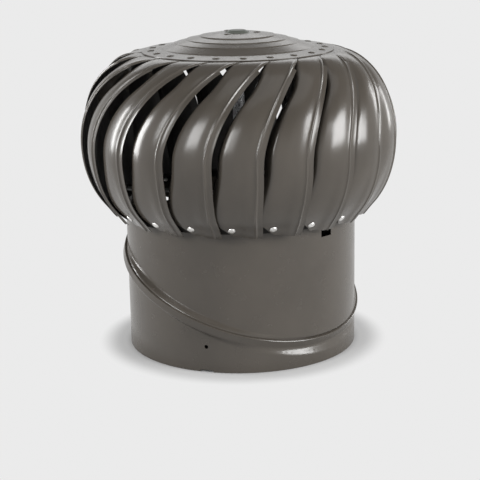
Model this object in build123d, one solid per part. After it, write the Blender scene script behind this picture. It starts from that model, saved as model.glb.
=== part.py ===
from build123d import *
from math import acos, asin, atan2, cos, degrees, hypot, pi, radians, sin
import os

# Roof turbine ventilator on a 300 mm throat.
# Millimetres, Z up, the throat axis on Z and its lower rim at Z = 0.
# Azimuths are in degrees, counter-clockwise from above, with 0 at -Y.

os.makedirs("parts", exist_ok=True)

# ---------------------------------------------------------------- throat
throat_r = 150.0            # outer radius of both tubes
tube_sheet = 0.8
throat_top = 188.0
joint_tilt = 22.5           # lean of the turning seam from level
joint_height = 90.0         # where the seam's plane crosses the throat axis
joint_low_azimuth = 45.0    # the seam is lowest here
joint_wall_r = 157.2        # upper tube's wall at the seam, which is round in its own plane
bead_proud = 2.8            # how far the rolled bead stands off that wall
bead_height = 9.0
upper_flare = 5.5           # each tube eases from round to the seam in this height
lower_flare = 9.0
flare_rings = 5
seam_gap = 0.3              # clearance all round the turning seam
screw_holes = 3
screw_hole_r = 2.5
screw_hole_z = 33.0
screw_azimuth = -17.8
notch_width = 17.0
notch_height = 2.6

# ---------------------------------------------------------------- rotor
vane_count = 21
vane_sheet = 0.8
first_vane_azimuth = 7.8    # free edge of the first vane at the skirt
skirt_start = 0.74          # share of the way down where the skirt runs straight
skirt_length = 24.0
skirt_lead = 1.2            # how far the free edge leads at the skirt's edge
equator_z = 273.0
rotor_overhang = 53.8       # the equator's reach past the throat
lower_arc_width = 73.8      # half axes of the elliptical arc below the equator
lower_arc_drop = 104.0
lower_span = 66.0           # degrees of that arc down to the skirt's edge
upper_arc_r = 120.0         # centre radius of the elliptical arc above the equator
upper_arc_rise = 111.1
vane_sweep = 29.0           # how far the free edge leads at the top plate
sweep_power = 1.65
vane_gap = 11.7             # from a free edge to the bend of the next vane
vane_step = 6.0             # how deep that bend lies under the free edge
skirt_step = 3.0
tab_step = 0.3
top_start = 0.55            # station where the vanes begin to close up under the plate
face_curl = 2.3             # how late the face turns down to its bend
tuck_start = 0.82           # station where the flange begins to run out
tuck_length = 14.0          # flange behind the bend, turned in
tuck_angle = 48.0
skirt_tuck = 3.0
rib_from_edge = 8.5
rib_half_width = 2.4
rib_height = 1.4
rib_fade = 0.8             # station where the rib begins to run out
lip_width = 6.0
lip_lift = 0.6
tab_lap = 2.0               # a tab reaches this far past the next vane's free edge line
tab_end = 2.0
tab_trim = 5.0              # lip cut away where the tab begins
trim_start = 0.76           # station on the outline, of 1 at the plate
chamfer_width = 19.0
chamfer_height = 17.0
chamfer_start = 1.5         # height above the skirt's edge where the cut begins

# ---------------------------------------------------------------- top plate
plate_r = 123.3
plate_sheet = 1.0
plate_rim_z = 385.2
flange_inner_r = 99.0
flange_rise = 2.4
plate_rivet_r = 111.3
plate_rivet_azimuth = 3.4
step_radii = (98.0, 80.5, 66.5, 49.5)    # foot of each pressed ring
step_feet = (0.2, 6.3, 10.5, 14.3)       # heights of those feet above the flange
step_climbs = (0.9, 1.0, 1.1, 1.3)
step_run = 1.5
crown_z = 406.0
crown_flat_r = 29.0
hub_rivet_r = 25.0
hub_rivet_count = 3
hub_rivet_azimuth = -30.0
cap_base_r = 16.5
cap_top_r = 11.2
cap_height = 3.2
cap_plug_r = 12.0

# ---------------------------------------------------------------- skirt ring and spider
ring_sheet = 1.0
ring_low_station = -0.96    # stations on the outline, of -1 at the skirt's edge
ring_high_station = -0.78
ring_flange_width = 14.0
lap_gap = 0.15              # paint and lay between skirt sheets that are riveted together
tab_gap = 0.4               # the tabs lie a little loose under the plate
spider_arms = 3
arm_width = 16.0
arm_thick = 2.0
skirt_rivet_station = -0.87
skirt_rivet_lead = 5.47     # rivet's azimuth past the free edge before it

# ---------------------------------------------------------------- rivets
rivet_head_r = 4.6
rivet_head_h = 1.2
rivet_shank_r = 2.4
rivet_tail_r = 3.6
rivet_tail_h = 1.4
rivet_fit = 0.05
rivet_lay = 0.12            # between the sheet and the rivet's head and tail
rivet_slack = 0.4           # under the tail, where the sheet behind is curved

# ---------------------------------------------------------------- shaft and bearings
shaft_r = 5.0
shaft_headroom = 2.0        # from the shaft's end to the top of the crown
shaft_past_nut = 1.0
shaft_low_z = 160.0
shoulder_r = 7.5
bearing_r = 15.0
bearing_width = 9.0
lower_bearing_z = 190.0     # underside of the lower bearing
race_wall = 3.2
ball_r = 2.75
ball_count = 8
cup_wall = 1.5
cup_lip_r = 12.5
clip_width = 2.0
clip_thick = 1.2
nut_flats = 17.0
nut_height = 5.0
washer_r = 10.0
washer_thick = 1.5
strap_width = 16.0
strap_thick = 3.0
strap_top_z = 175.0
slot_side_gap = 1.0
slot_low_z = 163.0
spacer_r = 7.5
fit = 0.05                  # radial clearance of a pushed fit


def around(part, azimuth):
    """Turns something made at the front about the throat axis."""
    return Rot(0, 0, azimuth) * part


def turned(*outline):
    """Solid turned about Z from a closed outline of (radius, height) corners."""
    face = make_face(Plane.XZ * Polyline(*outline, close=True))
    return revolve(face, Axis.Z, 360)


def tube(outer, inner, low, high):
    return turned((inner, low), (outer, low), (outer, high), (inner, high))


def save(part, node):
    part.label = node
    export_step(part, "parts/" + node + ".step")


# ================================================================ throat
low = radians(joint_low_azimuth)
lean = radians(joint_tilt)
down_slope = Vector(cos(lean) * sin(low), -cos(lean) * cos(low), -sin(lean))
seam_axis = Vector(sin(lean) * sin(low), -sin(lean) * cos(low), cos(lean))
seam = Plane(origin=(0, 0, joint_height), x_dir=down_slope, z_dir=seam_axis)

bead_r = joint_wall_r + bead_proud
half_bead = bead_height / 2
bead_inside = half_bead - tube_sheet
wall_inner_r = joint_wall_r - tube_sheet


def smooth(x):
    """Eases from 0 to 1 as x goes from 0 to 1."""
    x = min(max(x, 0.0), 1.0)
    return x * x * (3 - 2 * x)


def flare_skin(joint_r, tube_r, near, far):
    """Solid that eases from the seam's circle to the round tube's oblique edge."""
    rings = []
    for part in range(flare_rings + 1):
        share = part / flare_rings
        blend = smooth(share)
        offset = near + (far - near) * share
        down = joint_r + (tube_r / cos(lean) - joint_r) * blend
        across = joint_r + (tube_r - joint_r) * blend
        centre = Vector(0, 0, joint_height + offset / cos(lean) * blend)
        centre += seam_axis * offset * (1 - blend)
        plane = Plane(origin=centre, x_dir=down_slope, z_dir=seam_axis)
        rings.append(Wire(plane * Edge.make_ellipse(down, across)))
    return Solid.make_loft(rings, False)


def flare(joint_r, near, far):
    """Sheet between the rolled seam and the round tube."""
    skin = flare_skin(joint_r, throat_r, near, far)
    return skin - flare_skin(joint_r - tube_sheet, throat_r - tube_sheet, near, far)


def cut_tube(bottom, top, offset, keep):
    """Round tube, kept above or below a plane parallel to the seam."""
    whole = tube(throat_r, throat_r - tube_sheet, bottom, top)
    plane = Plane(origin=(0, 0, joint_height + offset / cos(lean)), x_dir=down_slope,
                  z_dir=seam_axis)
    return split(whole, bisect_by=plane, keep=keep)


# The lower tube ends in a channel that is closed over the upper tube's bead.
channel_gap = joint_wall_r + seam_gap
channel = turned(
    (wall_inner_r, -half_bead),
    (bead_r, -half_bead),
    (bead_r, half_bead - 0.5),
    (bead_r - 0.6, half_bead),
    (channel_gap, half_bead),
    (channel_gap, bead_inside),
    (bead_r - tube_sheet, bead_inside),
    (bead_r - tube_sheet, -bead_inside + 1.2),
    (bead_r - tube_sheet - 1.2, -bead_inside),
    (wall_inner_r, -bead_inside),
)
lower_flare_end = half_bead + lower_flare
lower_throat = cut_tube(0, throat_top, -lower_flare_end, Keep.BOTTOM)
lower_throat += flare(bead_r, -half_bead, -lower_flare_end)
lower_throat += seam.location * channel

hole = Pos(0, -throat_r, screw_hole_z) * Rot(90, 0, 0) * Cylinder(screw_hole_r, 20)
notch = Pos(0, -throat_r, 0) * Box(notch_width, 20, notch_height * 2)
for number in range(screw_holes):
    turn = screw_azimuth + 360 / screw_holes * number
    lower_throat -= around(hole, turn)
    lower_throat -= around(notch, turn)
save(lower_throat, "lower_throat")

# The upper tube's rolled bead turns inside that channel.
inner_bead_r = bead_r - tube_sheet - seam_gap - 0.1
inner_bead_z = bead_inside - seam_gap
neck = half_bead + 0.5
rolled = turned(
    (wall_inner_r, neck),
    (wall_inner_r, inner_bead_z - tube_sheet),
    (inner_bead_r - tube_sheet, inner_bead_z - tube_sheet),
    (inner_bead_r - tube_sheet, -inner_bead_z + tube_sheet),
    (wall_inner_r, -inner_bead_z + tube_sheet),
    (wall_inner_r, -inner_bead_z),
    (inner_bead_r - 1.6, -inner_bead_z),
    (inner_bead_r, -inner_bead_z + 1.6),
    (inner_bead_r, inner_bead_z),
    (joint_wall_r, inner_bead_z),
    (joint_wall_r, neck),
)
upper_throat = cut_tube(0, throat_top, neck + upper_flare, Keep.TOP)
upper_throat += flare(joint_wall_r, neck, neck + upper_flare)
upper_throat += seam.location * rolled
slot_height = strap_top_z - slot_low_z
slot = Pos(0, 0, slot_low_z + slot_height / 2) * Box(
    strap_width + 2 * slot_side_gap, 2 * throat_r + 20, slot_height)
upper_throat -= around(slot, joint_low_azimuth)
save(upper_throat, "upper_throat")

# ================================================================ strap, shaft, nuts
strap_z = strap_top_z - strap_thick / 2
strap = Pos(0, 0, strap_z) * Box(strap_width, 2 * throat_r + 3, strap_thick)
strap -= Pos(0, 0, strap_z) * Cylinder(shaft_r + fit, strap_thick * 2)
save(around(strap, joint_low_azimuth), "support_strap")

shaft_top_z = crown_z - shaft_headroom
top_nut_z = shaft_top_z - shaft_past_nut - nut_height
upper_bearing_z = top_nut_z - bearing_width
shaft = turned(
    (0, shaft_low_z + 1),
    (shaft_r - 1, shaft_low_z),
    (shaft_r, shaft_low_z + 1),
    (shaft_r, strap_top_z),
    (shoulder_r, strap_top_z),
    (shoulder_r, lower_bearing_z),
    (shaft_r, lower_bearing_z),
    (shaft_r, shaft_top_z - 1),
    (shaft_r - 1, shaft_top_z),
    (0, shaft_top_z),
)
save(shaft, "shaft")

hexagon = extrude(RegularPolygon(nut_flats / 2, 6, major_radius=False), nut_height)
nut = hexagon - Pos(0, 0, nut_height / 2) * Cylinder(shaft_r + fit, nut_height * 2)
strap_low_z = strap_top_z - strap_thick
nuts = Compound(children=[
    Pos(0, 0, strap_low_z - washer_thick - nut_height) * nut,
    Pos(0, 0, top_nut_z) * nut,
])
save(nuts, "shaft_nuts")
save(tube(washer_r, shaft_r + fit, strap_low_z - washer_thick, strap_low_z), "strap_washer")
save(tube(spacer_r, shaft_r + fit, lower_bearing_z + bearing_width, upper_bearing_z),
     "bearing_spacer")

# ================================================================ bearings
ball_ring_r = (shaft_r + race_wall + bearing_r - race_wall) / 2
groove_r = ball_r + 0.08


def bearing_part(piece, z):
    return Pos(0, 0, z) * piece


groove = Pos(0, 0, bearing_width / 2) * Torus(ball_ring_r, groove_r)
inner_race = tube(shaft_r + race_wall, shaft_r + fit, 0, bearing_width) - groove
outer_race = tube(bearing_r - fit, bearing_r - race_wall, 0, bearing_width) - groove
cage = tube(ball_ring_r + 1.0, ball_ring_r - 1.0, bearing_width / 2 - 2.0, bearing_width / 2 + 2.0)
ball_set = cage
for number in range(ball_count):
    ball = Pos(0, -ball_ring_r, bearing_width / 2) * Rot(90, 0, 0) * Sphere(ball_r)
    ball_set += around(ball, 360 / ball_count * number)
levels = (lower_bearing_z, upper_bearing_z)
for name, piece in (("inner_races", inner_race), ("outer_races", outer_race),
                    ("ball_sets", ball_set)):
    save(Compound(children=[bearing_part(piece, z) for z in levels]), name)

clip = tube(bearing_r - fit, bearing_r - clip_width, 0, clip_thick)
save(Compound(children=[bearing_part(clip, z + bearing_width) for z in levels]), "bearing_clips")


# ================================================================ rotor outline
vane_pitch = 2 * pi / vane_count
equator_r = throat_r + rotor_overhang
plate_slope = flange_rise / (plate_r - flange_inner_r)
tab_start_r = plate_r + 3.0
tab_inner_r = plate_rivet_r - 7.5
skirt_angle = radians(lower_span) * skirt_start
skirt_fall = hypot(lower_arc_width * sin(skirt_angle), lower_arc_drop * cos(skirt_angle))
skirt_in = lower_arc_width * sin(skirt_angle) / skirt_fall
skirt_down = lower_arc_drop * cos(skirt_angle) / skirt_fall
upper_span = acos((tab_start_r - upper_arc_r) / (equator_r - upper_arc_r))


def plate_underside(radius):
    return plate_rim_z - plate_sheet + (plate_r - radius) * plate_slope


def outline(station):
    """(radius, height) of the vanes' envelope: -1 skirt, 0 equator, 1 plate, 2 tab's end."""
    if station < 0:
        angle = radians(lower_span) * min(-station, skirt_start)
        past = skirt_length * max(0.0, -station - skirt_start) / (1 - skirt_start)
        return (equator_r - lower_arc_width * (1 - cos(angle)) - skirt_in * past,
                equator_z - lower_arc_drop * sin(angle) - skirt_down * past)
    if station <= 1:
        angle = station * upper_span
        return (upper_arc_r + (equator_r - upper_arc_r) * cos(angle),
                equator_z + upper_arc_rise * sin(angle))
    radius = tab_start_r + (tab_inner_r - tab_start_r) * (station - 1)
    return radius, plate_underside(radius) - tab_gap


def outward(station):
    """Unit normal (radial, vertical) of the envelope."""
    r0, z0 = outline(station - 0.01)
    r1, z1 = outline(station + 0.01)
    length = hypot(r1 - r0, z1 - z0)
    return (z1 - z0) / length, (r0 - r1) / length


def section(station):
    """(distance back from the free edge, depth) across a vane."""
    radius = outline(station)[0]
    top = smooth((station - top_start) / (1 - top_start))
    bottom = smooth(station / ring_high_station)
    ended = smooth((station - tuck_start) / (0.98 - tuck_start))
    gap = vane_gap * (1 - top) * (1 - bottom) - tab_lap * top
    step = vane_step * (1 - top) * (1 - bottom) + tab_step * top + skirt_step * bottom
    tuck = tuck_length * (1 - ended) * (1 - bottom) + tab_end * ended + skirt_tuck * bottom
    turn = radians(tuck_angle) * (1 - ended) * (1 - bottom)
    bend = vane_pitch * radius - gap
    face_start = rib_from_edge + rib_half_width
    rib = rib_height * (1 - smooth((station - rib_fade) / (1 - rib_fade)))

    across = []
    for back in (0.0, 2.0, 4.0, 5.4):
        across.append((back, -lip_lift * (1 - top) * (1 - back / lip_width) ** 2))
    for part in (-1.0, -0.67, -0.33, 0.0, 0.33, 0.67, 1.0):
        height = rib * cos(pi / 2 * part) ** 2
        across.append((rib_from_edge + rib_half_width * part, -height))
    for part in range(1, 9):
        share = part / 8
        fall = share ** face_curl * (1 - bottom) + smooth(2 * share) * bottom
        across.append((face_start + (bend - face_start) * share, step * fall))
    back, depth = across[-1]
    slope = face_curl * step / (bend - face_start) * (1 - bottom)
    for part in range(1, 7):
        angle = slope + turn * min(1.0, part / 3.5)
        back += tuck / 6 * cos(angle)
        depth += tuck / 6 * sin(angle)
        across.append((back, depth))
    return across


def on_vane(station, back, depth):
    """Point at a distance back from the free edge and at a depth under the envelope."""
    radius, height = outline(station)
    nr, nz = outward(station)
    lead = radians(vane_sweep) * min(max(station, 0.0), 1.0) ** sweep_power
    lead += radians(skirt_lead) * smooth(-2 * station - 1)
    azimuth = lead - back / radius
    reach = radius - depth * nr
    return Vector(reach * sin(azimuth), -reach * cos(azimuth), height - depth * nz)


# ================================================================ vanes
rows_low = 9
rows_high = 14
rows_tab = 3
rows = [row / rows_low for row in range(-rows_low, 0)]
rows += [row / rows_high for row in range(rows_high + 1)]
rows += [1 + (row + 1) / rows_tab for row in range(rows_tab)]


def skin(below):
    """Fitted surface at a depth below the vane's outer side."""
    grid = [[on_vane(row, back, depth) for back, depth in section(row)] for row in rows]
    points = []
    for i, line in enumerate(grid):
        shifted = []
        for j, point in enumerate(line):
            along = grid[min(i + 1, len(grid) - 1)][j] - grid[max(i - 1, 0)][j]
            across = line[min(j + 1, len(line) - 1)] - line[max(j - 1, 0)]
            shifted.append(point + across.cross(along).normalized() * below)
        points.append(shifted)
    return Face.make_surface_from_array_of_points(points, tol=0.1, min_deg=3, max_deg=3)


def sheet_between(outer, inner):
    """Solid between two skins, closed by ruled edges."""
    sides = []
    for edge in outer.edges():
        middle = edge.center()
        facing = min(inner.edges(), key=lambda other: (other.center() - middle).length)
        sides.append(Face.make_surface_from_curves(edge, facing))
    return Solid(Shell([outer, inner] + sides))


vane = sheet_between(skin(0), skin(vane_sheet))

# The lower trailing corner is cut off at an angle.
skirt_z = outline(-1)[1]
chamfer_z = skirt_z + chamfer_start
corner = make_face(Plane.XZ * Polyline(
    (chamfer_width, chamfer_z),
    (-chamfer_width * 0.5, chamfer_z + chamfer_height * 1.5),
    (-chamfer_width * 2, chamfer_z + chamfer_height * 1.5),
    (-chamfer_width * 2, chamfer_z - chamfer_height),
    (chamfer_width, chamfer_z - chamfer_height),
    close=True))
corner = Pos(0, -throat_r, 0) * extrude(corner, rotor_overhang)
vane -= around(corner, -degrees(vane_pitch))

# The lip is cut away where the tab goes under the top plate.
trim_rows = [row for row in rows if row > trim_start]
inside = [on_vane(trim_start, -1, 0), on_vane(trim_start + 0.04, tab_trim, 0)]
inside += [on_vane(row, tab_trim, 0) for row in trim_rows if row > trim_start + 0.04]
outside = [on_vane(row, -12, 0) for row in reversed(trim_rows)]
trim = Polyline(*[(point.X, point.Y) for point in inside + outside], close=True)
vane -= Pos(0, 0, outline(trim_start)[1] - 8) * extrude(make_face(trim), 40)


# ================================================================ rivets
def rivet(grip):
    """Blind rivet along Z, with the underside of its head at Z = 0."""
    return turned(
        (0, -grip - rivet_tail_h),
        (rivet_tail_r - 0.6, -grip - rivet_tail_h),
        (rivet_tail_r, -grip - rivet_lay),
        (rivet_shank_r, -grip - rivet_lay),
        (rivet_shank_r, rivet_lay),
        (rivet_head_r, rivet_lay),
        (rivet_head_r - 0.4, rivet_head_h * 0.6),
        (rivet_head_r * 0.5, rivet_head_h),
        (0, rivet_head_h),
    )


def rivet_hole(grip):
    return Pos(0, 0, -grip / 2) * Cylinder(rivet_shank_r + rivet_fit, grip + 8)


def ring_of(piece, count, azimuth):
    return [around(piece, azimuth + 360 / count * number) for number in range(count)]


# Skirt rivets go through each vane and the ring, square to the envelope.
nr, nz = outward(skirt_rivet_station)
r, z = outline(skirt_rivet_station)
skirt_seat = Pos(0, -(r - skirt_step * nr), z - skirt_step * nz) * Rot(
    90 - degrees(atan2(nz, nr)), 0, 0)
skirt_grip = vane_sheet + lap_gap + ring_sheet + rivet_slack
vane -= around(skirt_seat * rivet_hole(skirt_grip), skirt_rivet_lead - degrees(vane_pitch))

# Plate rivets go through the top plate and each tab.
plate_tilt = degrees(atan2(plate_slope, 1))
plate_seat = Pos(0, -plate_rivet_r, plate_underside(plate_rivet_r) + plate_sheet) * Rot(
    plate_tilt, 0, 0)
plate_grip = plate_sheet + tab_gap + vane_sheet + rivet_slack
tab_rivet_azimuth = plate_rivet_azimuth + degrees(vane_pitch) - first_vane_azimuth
vane -= around(plate_seat * rivet_hole(plate_grip), tab_rivet_azimuth)

for number in range(vane_count):
    node = f"vane_{number + 1:02d}"
    save(around(vane, first_vane_azimuth + degrees(vane_pitch) * number), node)

skirt_azimuth = first_vane_azimuth + skirt_rivet_lead
save(Compound(children=ring_of(skirt_seat * rivet(skirt_grip), vane_count, skirt_azimuth)),
     "skirt_rivets")
save(Compound(children=ring_of(plate_seat * rivet(plate_grip), vane_count, plate_rivet_azimuth)),
     "plate_rivets")

# ================================================================ skirt ring
ring_depth = skirt_step + vane_sheet + lap_gap


def ring_line(depth):
    """Points up the ring at a depth under the envelope."""
    line = []
    for part in range(7):
        station = ring_low_station + (ring_high_station - ring_low_station) * part / 6
        radius, height = outline(station)
        nr, nz = outward(station)
        line.append((radius - depth * nr, height - depth * nz))
    return line


ring_outside = ring_line(ring_depth)
ring_inside = ring_line(ring_depth + ring_sheet)
ring_top_r, ring_top_z = ring_outside[-1]
flange_r = ring_top_r - ring_flange_width
inner_join = [point for point in ring_inside if point[1] < ring_top_z - ring_sheet]
last_r, last_z = inner_join[-1]
ring = turned(*ring_outside, (flange_r, ring_top_z), (flange_r, ring_top_z - ring_sheet),
              (last_r + ring_top_z - ring_sheet - last_z, ring_top_z - ring_sheet),
              *reversed(inner_join))
for hole in ring_of(skirt_seat * rivet_hole(skirt_grip), vane_count, skirt_azimuth):
    ring -= hole

# ================================================================ rotor spider
arm_grip = arm_thick + ring_sheet
arm_rivet_r = ring_top_r - 0.66 * ring_flange_width
arm_end_r = ring_top_r - 1.0
cup_r = bearing_r + cup_wall
cup_top = bearing_width + clip_thick + 0.8


def bearing_cup(z, top):
    """Cup with an inturned lip that carries a bearing standing at z."""
    return turned(
        (cup_lip_r, z - cup_wall),
        (cup_r, z - cup_wall),
        (cup_r, top),
        (bearing_r, top),
        (bearing_r, z),
        (cup_lip_r, z),
    )


spider = bearing_cup(lower_bearing_z, lower_bearing_z + cup_top)
spider += tube(cup_r + 8, cup_r - 0.5, ring_top_z, ring_top_z + arm_thick)
arm_seats = []
for number in range(spider_arms):
    turn = skirt_azimuth + 360 / spider_arms * number
    length = arm_end_r - cup_r + 0.5
    arm = Pos(0, -(cup_r - 0.5 + length / 2), ring_top_z + arm_thick / 2) * Box(
        arm_width, length, arm_thick)
    spider += around(arm, turn)
    for side in (-1, 1):
        seat = Pos(side * arm_width / 4, -arm_rivet_r, ring_top_z + arm_thick)
        arm_seats.append(around(seat * rivet(arm_grip), turn))
        spider -= around(seat * rivet_hole(arm_grip), turn)
        ring -= around(seat * rivet_hole(arm_grip), turn)
save(ring, "skirt_ring")
save(spider, "rotor_spider")
save(Compound(children=arm_seats), "spider_rivets")

# ================================================================ top plate and hub
flange_z = plate_rim_z + flange_rise
profile = [(plate_r, plate_rim_z), (flange_inner_r, flange_z)]
for radius, foot, climb in zip(step_radii, step_feet, step_climbs):
    profile.append((radius, flange_z + foot))
    profile.append((radius - step_run, flange_z + foot + climb))
profile.append((crown_flat_r, crown_z))
profile.append((cap_plug_r, crown_z))
underside = [(radius, height - plate_sheet) for radius, height in reversed(profile)]
plate = turned(*profile, *underside)
for hole in ring_of(plate_seat * rivet_hole(plate_grip), vane_count, plate_rivet_azimuth):
    plate -= hole

cup_flange = 1.2
crown_under_z = crown_z - plate_sheet
housing = bearing_cup(upper_bearing_z, crown_under_z)
housing += tube(crown_flat_r, bearing_r, crown_under_z - cup_flange, crown_under_z)
hub_grip = plate_sheet + cup_flange
hub_seat = Pos(0, -hub_rivet_r, crown_z)
for hole in ring_of(hub_seat * rivet_hole(hub_grip), hub_rivet_count, hub_rivet_azimuth):
    plate -= hole
    housing -= hole
save(plate, "top_plate")
save(housing, "upper_bearing_cup")
save(Compound(children=ring_of(hub_seat * rivet(hub_grip), hub_rivet_count, hub_rivet_azimuth)),
     "hub_rivets")

cap = turned(
    (0, crown_under_z),
    (cap_plug_r - fit, crown_under_z),
    (cap_plug_r - fit, crown_z),
    (cap_base_r, crown_z),
    (cap_top_r, crown_z + cap_height - 0.4),
    (cap_top_r - 1.0, crown_z + cap_height),
    (0, crown_z + cap_height),
)
save(cap, "centre_cap")
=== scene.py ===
"""Looks, light and camera for the roof turbine ventilator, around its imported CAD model."""
from math import cos, radians, sin

import bpy
from mathutils import Matrix, Vector


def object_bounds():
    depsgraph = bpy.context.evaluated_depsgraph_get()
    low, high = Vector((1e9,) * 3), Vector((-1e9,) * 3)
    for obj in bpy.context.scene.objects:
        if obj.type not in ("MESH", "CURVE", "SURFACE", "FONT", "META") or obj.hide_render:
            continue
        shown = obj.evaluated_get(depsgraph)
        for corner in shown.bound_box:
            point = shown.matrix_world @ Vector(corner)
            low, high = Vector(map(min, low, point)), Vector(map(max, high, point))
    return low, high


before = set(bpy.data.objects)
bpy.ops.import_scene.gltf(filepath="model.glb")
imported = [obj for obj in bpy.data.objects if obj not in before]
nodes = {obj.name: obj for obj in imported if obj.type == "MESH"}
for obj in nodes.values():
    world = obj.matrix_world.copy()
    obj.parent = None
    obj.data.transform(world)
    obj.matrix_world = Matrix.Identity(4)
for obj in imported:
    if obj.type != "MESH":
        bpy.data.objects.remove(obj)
cad_low, cad_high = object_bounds()

MM = 0.001

# ---------------------------------------------------------------- colours in linear light
PAINT = (0.061, 0.053, 0.044)
# painted shade: near-black for the vanes' inner faces and the skirt ring, standing in for the
# shade within the rotor
PAINTED_SHADE = (0.012, 0.011, 0.010)
BARE_ALUMINIUM = (0.72, 0.71, 0.69)
ZINC = (0.42, 0.42, 0.41)
BRIGHT_STEEL = (0.55, 0.55, 0.56)
CAP_PLASTIC = (0.075, 0.082, 0.070)

# ---------------------------------------------------------------- texture of the finishes
TONE_PATCHES = 14.0         # changes of tone per metre
GLOSS_PATCHES = 45.0
SHEET_WAVES = 9.0
FLECK_STRENGTH = 0.25
INSIDE_ROUGHNESS = 0.75
FINE_GRAIN = 900.0          # grain of the paint per metre
PAINT_GRAIN_DEPTH = 0.00001

# ---------------------------------------------------------------- floor, world and shadow
BACKDROP = 0.83
FLOOR_R = 30.0
FLOOR_DROP = 0.0002         # keeps the floor just clear of the rim
FLOOR_TONE = 0.42
FLOOR_DARK_R = 0.14         # nothing under the throat glows
SHADOW_KEEPS = 0.7
SHADOW_FULL_R = 0.16
SHADOW_END_R = 0.195
WORLD_LIGHT = 0.22
CEILING = 0.15
CEILING_START = 0.12        # sines of the elevations between which the ceiling sets in
CEILING_FULL = 0.75
LAMPS_AIM_AT = Vector((0, 0, 0.25))


# ---------------------------------------------------------------- node helpers
class Nodes:
    """A material's or world's node tree, with short ways to add to it."""

    def __init__(self, owner):
        owner.use_nodes = True
        self.tree = owner.node_tree
        self.tree.nodes.clear()

    def add(self, kind, **settings):
        node = self.tree.nodes.new(kind)
        for name, value in settings.items():
            setattr(node, name, value)
        return node

    def feed(self, socket, value):
        """Joins a socket to another node's output, or sets it to a plain value."""
        if isinstance(value, bpy.types.NodeSocket):
            self.tree.links.new(value, socket)
        else:
            socket.default_value = value

    def math(self, operation, a, b=0.0):
        node = self.add("ShaderNodeMath", operation=operation)
        self.feed(node.inputs[0], a)
        self.feed(node.inputs[1], b)
        return node.outputs[0]

    def vector(self, operation, a, b=(0.0, 0.0, 0.0)):
        node = self.add("ShaderNodeVectorMath", operation=operation)
        self.feed(node.inputs[0], a)
        self.feed(node.inputs[1], b)
        return node

    def fade(self, value, low, high, to_low=0.0, to_high=1.0):
        """Maps value from low..high to to_low..to_high, eased and held at both ends."""
        node = self.add("ShaderNodeMapRange", interpolation_type="SMOOTHSTEP")
        for socket, given in zip(node.inputs, (value, low, high, to_low, to_high)):
            self.feed(socket, given)
        return node.outputs[0]

    def noise(self, place, scale, detail=2.0):
        node = self.add("ShaderNodeTexNoise")
        self.feed(node.inputs["Vector"], place)
        self.feed(node.inputs["Scale"], scale)
        self.feed(node.inputs["Detail"], detail)
        return node.outputs["Fac"]

    def mix(self, factor, first, second):
        node = self.add("ShaderNodeMix", data_type="RGBA")
        self.feed(node.inputs[0], factor)
        for socket, colour in zip(node.inputs[6:8], (first, second)):
            joined = isinstance(colour, bpy.types.NodeSocket)
            self.feed(socket, colour if joined else (*colour, 1.0))
        return node.outputs[2]

    def bump(self, height, strength, distance, below=None):
        """Normal of a surface raised by height; below is the normal it starts from."""
        node = self.add("ShaderNodeBump")
        self.feed(node.inputs["Strength"], strength)
        self.feed(node.inputs["Distance"], distance)
        self.feed(node.inputs["Height"], height)
        if below is not None:
            self.feed(node.inputs["Normal"], below)
        return node.outputs["Normal"]


def scaled(colour, factor):
    return tuple(channel * factor for channel in colour)


def grey(level):
    return level, level, level, 1.0


def surface(name, colour, metallic, roughness, spread, grain, grain_depth, waves=0.0,
            inner_shade_colour=None, specular=0.5):
    """A finish whose tone, gloss and surface all vary a little over the piece.

    spread is how far the gloss strays, grain the fineness of its texture per metre, and waves
    the height in metres of the slow unevenness of thin sheet. The dark colour given for inner
    faces is painted shade on what faces the axis, standing in for the shade within the rotor.
    """
    material = bpy.data.materials.new(name)
    n = Nodes(material)
    place = n.add("ShaderNodeTexCoord")
    at = place.outputs["Object"]
    patches = n.noise(at, TONE_PATCHES, 3.0)
    flecks = n.noise(at, grain, 2.0)
    tone = n.mix(n.fade(patches, 0.3, 0.7), scaled(colour, 0.93), scaled(colour, 1.07))
    tone = n.mix(n.fade(flecks, 0.35, 0.75, 0.0, 0.15), tone, scaled(colour, 1.12))
    gloss = n.noise(at, GLOSS_PATCHES, 4.0)
    gloss = n.fade(gloss, 0.25, 0.75, roughness - spread, roughness + spread)
    # Painted shade: faces turned towards the axis get the near-black colour and a duller
    # gloss, standing in for the shade within the rotor.
    if inner_shade_colour is not None:
        level = n.vector("MULTIPLY", at, (1.0, 1.0, 0.0)).outputs[0]
        outward = n.vector("NORMALIZE", level).outputs[0]
        facing = n.vector("DOT_PRODUCT", place.outputs["Normal"], outward).outputs["Value"]
        inward_shade_mask = n.fade(facing, -0.12, -0.02, 1.0, 0.0)
        tone = n.mix(inward_shade_mask, tone, inner_shade_colour)
        gloss = n.math("MAXIMUM", gloss, n.math("MULTIPLY", inward_shade_mask, INSIDE_ROUGHNESS))
    normal = n.bump(flecks, FLECK_STRENGTH, grain_depth)
    if waves:
        normal = n.bump(n.noise(at, SHEET_WAVES, 1.0), 1.0, waves, below=normal)
    shader = n.add("ShaderNodeBsdfPrincipled")
    n.feed(shader.inputs["Base Color"], tone)
    n.feed(shader.inputs["Metallic"], metallic)
    n.feed(shader.inputs["Roughness"], gloss)
    n.feed(shader.inputs["Normal"], normal)
    n.feed(shader.inputs["Specular IOR Level"], specular)
    out = n.add("ShaderNodeOutputMaterial")
    n.feed(out.inputs["Surface"], shader.outputs[0])
    return material


def dress(material, *names):
    for name in names:
        for place in nodes[name].material_slots:
            place.material = material


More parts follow.
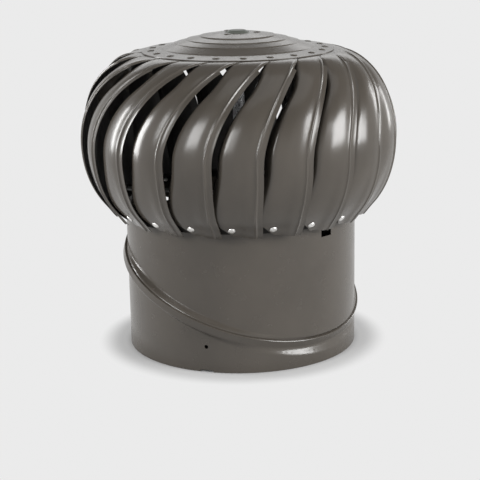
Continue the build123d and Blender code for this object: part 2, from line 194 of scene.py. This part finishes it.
vanes = [name for name in nodes if name.startswith("vane_")]
paint = surface("paint", PAINT, 0.0, 0.25, 0.03, FINE_GRAIN, PAINT_GRAIN_DEPTH, waves=0.0006)
# vane paint, with painted shade on the faces that turn towards the axis
vane_paint_and_inner_shade = surface("vane_paint_and_inner_shade", PAINT, 0.0, 0.23, 0.015, FINE_GRAIN, PAINT_GRAIN_DEPTH,
                     waves=0.0002, inner_shade_colour=PAINTED_SHADE)
# Painted shade: the skirt ring gets the near-black colour and little reflection, standing in
# for the shade in the recess behind the vanes' lower edges.
painted_shade_ring = surface("painted_shade_ring", PAINTED_SHADE, 0.0, 0.7, 0.05, FINE_GRAIN, 0.00002,
                     specular=0.1)
dress(paint, "lower_throat", "upper_throat", "top_plate", "plate_rivets", "hub_rivets")
dress(vane_paint_and_inner_shade, *vanes)
dress(painted_shade_ring, "skirt_ring")
dress(surface("rivet_aluminium", BARE_ALUMINIUM, 1.0, 0.32, 0.08, 1500.0, 0.00003),
      "skirt_rivets", "spider_rivets")
dress(surface("zinc_steel", ZINC, 1.0, 0.45, 0.10, 300.0, 0.00003),
      "support_strap", "rotor_spider", "upper_bearing_cup", "strap_washer", "shaft_nuts",
      "bearing_clips")
dress(surface("bearing_steel", BRIGHT_STEEL, 1.0, 0.28, 0.06, 800.0, 0.00002),
      "shaft", "bearing_spacer", "inner_races", "outer_races", "ball_sets")
dress(surface("cap_plastic", CAP_PLASTIC, 0.0, 0.42, 0.06, 1200.0, 0.00004), "centre_cap")


# ---------------------------------------------------------------- floor and surroundings
def seen_directly(n):
    """1 for rays that come from the camera, a reflection or a transparent piece."""
    is_ray = n.add("ShaderNodeLightPath").outputs
    reflected = n.math("MAXIMUM", is_ray["Is Glossy Ray"], is_ray["Is Transmission Ray"])
    return n.math("MAXIMUM", is_ray["Is Camera Ray"], reflected)


bpy.ops.mesh.primitive_circle_add(vertices=96, radius=FLOOR_R, fill_type="NGON",
                                  location=(0, 0, cad_low.z - FLOOR_DROP))
floor = bpy.context.object
floor.name = "studio_floor"
floor_look = bpy.data.materials.new("studio_floor")
n = Nodes(floor_look)
ground = n.add("ShaderNodeTexCoord").outputs["Object"]
distance = n.vector("LENGTH", ground).outputs["Value"]
shaded = n.add("ShaderNodeBsdfDiffuse")
n.feed(shaded.inputs["Color"], grey(FLOOR_TONE))
plain = n.add("ShaderNodeEmission")
n.feed(plain.inputs["Color"], grey(BACKDROP))
n.feed(plain.inputs["Strength"], n.fade(distance, FLOOR_DARK_R, SHADOW_FULL_R))
evened = n.fade(distance, SHADOW_FULL_R, SHADOW_END_R, 1.0 - SHADOW_KEEPS, 1.0)
blend = n.add("ShaderNodeMixShader")
n.feed(blend.inputs[0], n.math("MULTIPLY", evened, seen_directly(n)))
n.feed(blend.inputs[1], shaded.outputs[0])
n.feed(blend.inputs[2], plain.outputs[0])
n.feed(n.add("ShaderNodeOutputMaterial").inputs["Surface"], blend.outputs[0])
floor.data.materials.append(floor_look)

world = bpy.data.worlds.new("studio")
bpy.context.scene.world = world
n = Nodes(world)
lighting = n.add("ShaderNodeBackground")
n.feed(lighting.inputs["Color"], grey(1.0))
n.feed(lighting.inputs["Strength"], WORLD_LIGHT)
backdrop = n.add("ShaderNodeBackground")
direction = n.add("ShaderNodeSeparateXYZ")
n.feed(direction.inputs[0], n.add("ShaderNodeTexCoord").outputs["Generated"])
n.feed(backdrop.inputs["Color"], grey(BACKDROP))
n.feed(backdrop.inputs["Strength"],
       n.fade(direction.outputs[2], CEILING_START, CEILING_FULL, 1.0, CEILING))
blend = n.add("ShaderNodeMixShader")
n.feed(blend.inputs[0], seen_directly(n))
n.feed(blend.inputs[1], lighting.outputs[0])
n.feed(blend.inputs[2], backdrop.outputs[0])
n.feed(n.add("ShaderNodeOutputWorld").inputs["Surface"], blend.outputs[0])


# ---------------------------------------------------------------- lamps
def softbox(name, azimuth, elevation, reach, width, height, power):
    """A rectangular lamp aimed at the rotor; azimuth 0 is the front and 90 the right.

    Angles are in degrees, lengths in metres and the power in watts.
    """
    lamp = bpy.data.lights.new(name, "AREA")
    lamp.shape = "RECTANGLE"
    lamp.size = width
    lamp.size_y = height
    lamp.energy = power
    holder = bpy.data.objects.new(name, lamp)
    bpy.context.collection.objects.link(holder)
    a, e = radians(azimuth), radians(elevation)
    back = Vector((sin(a) * cos(e), -cos(a) * cos(e), sin(e)))
    holder.location = LAMPS_AIM_AT + back * reach
    holder.rotation_euler = back.to_track_quat("Z", "Y").to_euler()


softbox("key", 60, 18, 2.4, 1.3, 1.2, 74)
softbox("fill", -48, 21, 2.6, 1.15, 1.15, 44)
softbox("rim_left", -104, 10, 2.6, 0.45, 1.4, 40)
softbox("rim_right", 122, 14, 2.6, 0.35, 1.3, 14)
softbox("overhead", 0, 84, 2.8, 2.4, 2.0, 10)
softbox("behind", 180, 26, 3.2, 2.8, 0.7, 8)

# ---------------------------------------------------------------- camera
EYE = Vector((-1.5, -1734.0, 587.0)) * MM
PITCH_DOWN = radians(14.70)
ROLL = radians(-1.05)
right = Vector((1, 0, 0))
up = Vector((0, sin(PITCH_DOWN), cos(PITCH_DOWN)))
back = Vector((0, -cos(PITCH_DOWN), sin(PITCH_DOWN)))
cam_right = right * cos(ROLL) + up * sin(ROLL)
cam_up = up * cos(ROLL) - right * sin(ROLL)
camera_data = bpy.data.cameras.new("photo_camera")
camera_data.sensor_width = 36.0
camera_data.lens = 101.35
camera = bpy.data.objects.new("photo_camera", camera_data)
bpy.context.collection.objects.link(camera)
axes = Matrix((cam_right, cam_up, back)).transposed().to_4x4()
camera.matrix_world = Matrix.Translation(EYE) @ axes
bpy.context.scene.camera = camera
bpy.context.scene.view_settings.view_transform = "Standard"
